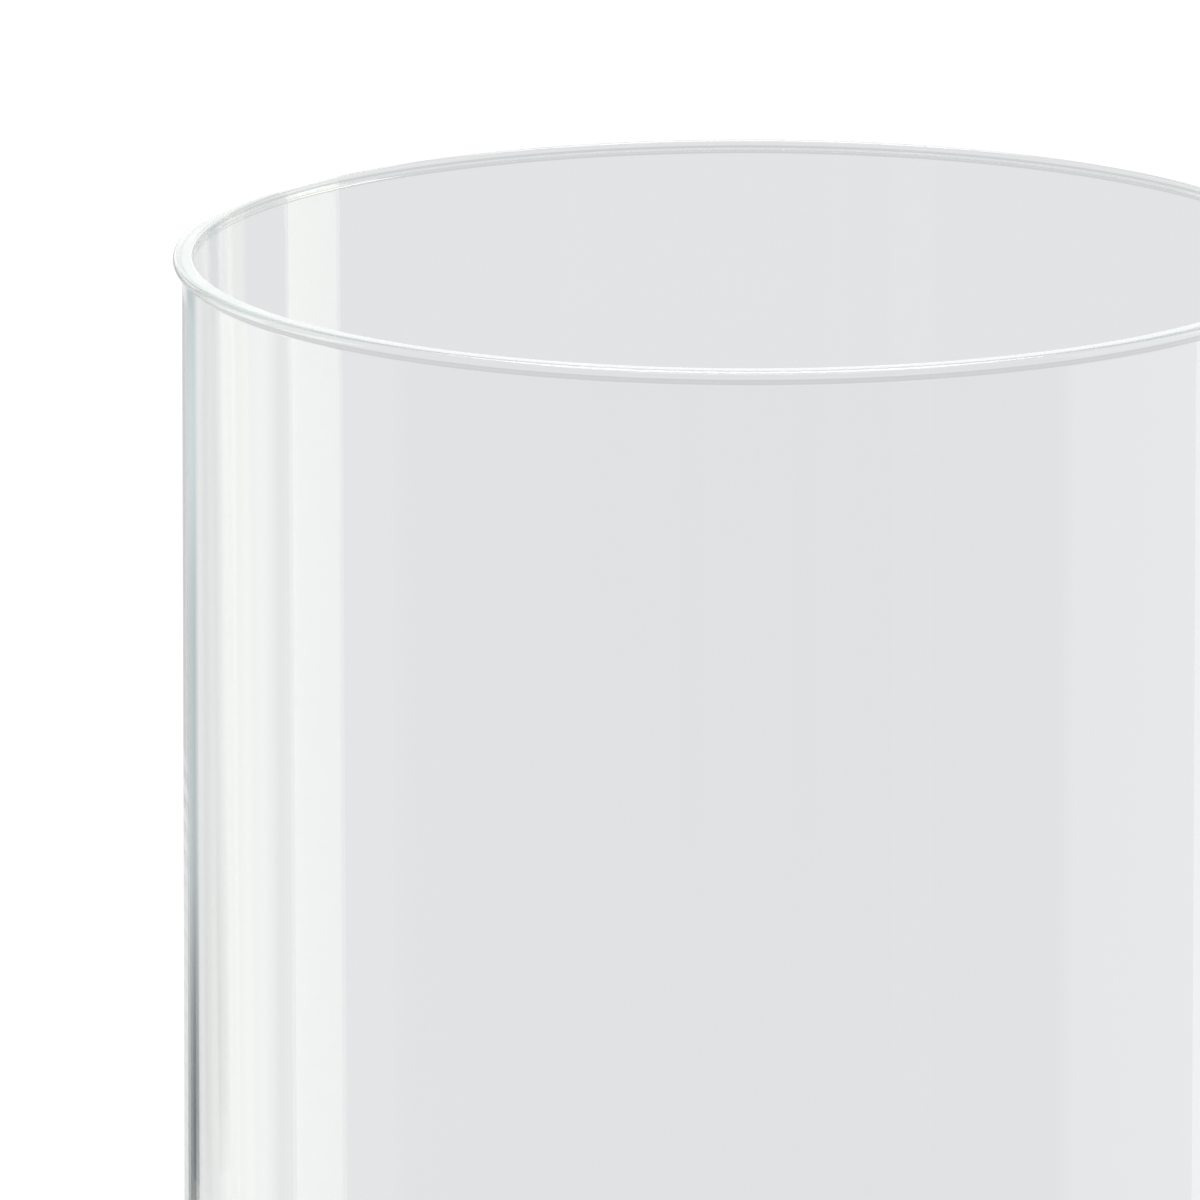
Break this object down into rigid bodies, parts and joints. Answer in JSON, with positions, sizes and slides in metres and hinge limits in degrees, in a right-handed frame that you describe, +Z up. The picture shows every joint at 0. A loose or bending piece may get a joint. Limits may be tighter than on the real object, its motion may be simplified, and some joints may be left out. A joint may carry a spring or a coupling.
{
  "type": "tall tumbler",
  "caption": "Tall straight-sided clear drinking glass with a thin wall, a rounded bead at the rim and a heavy base; stands on a flat ring and holds a drink.",
  "frame": {"origin": "middle of the base, on the surface that the tumbler stands on", "axes": "+Z up along the tumbler's axis, towards the rim; X and Y are any two square directions, because it is round"},
  "size_m": [0.063, 0.063, 0.15],
  "materials": {
    "clear_glass": "clear, smooth and fire-polished"
  },
  "bodies": {
    "root": {"tumbler_glass": "clear_glass"}
  },
  "joints": []
}
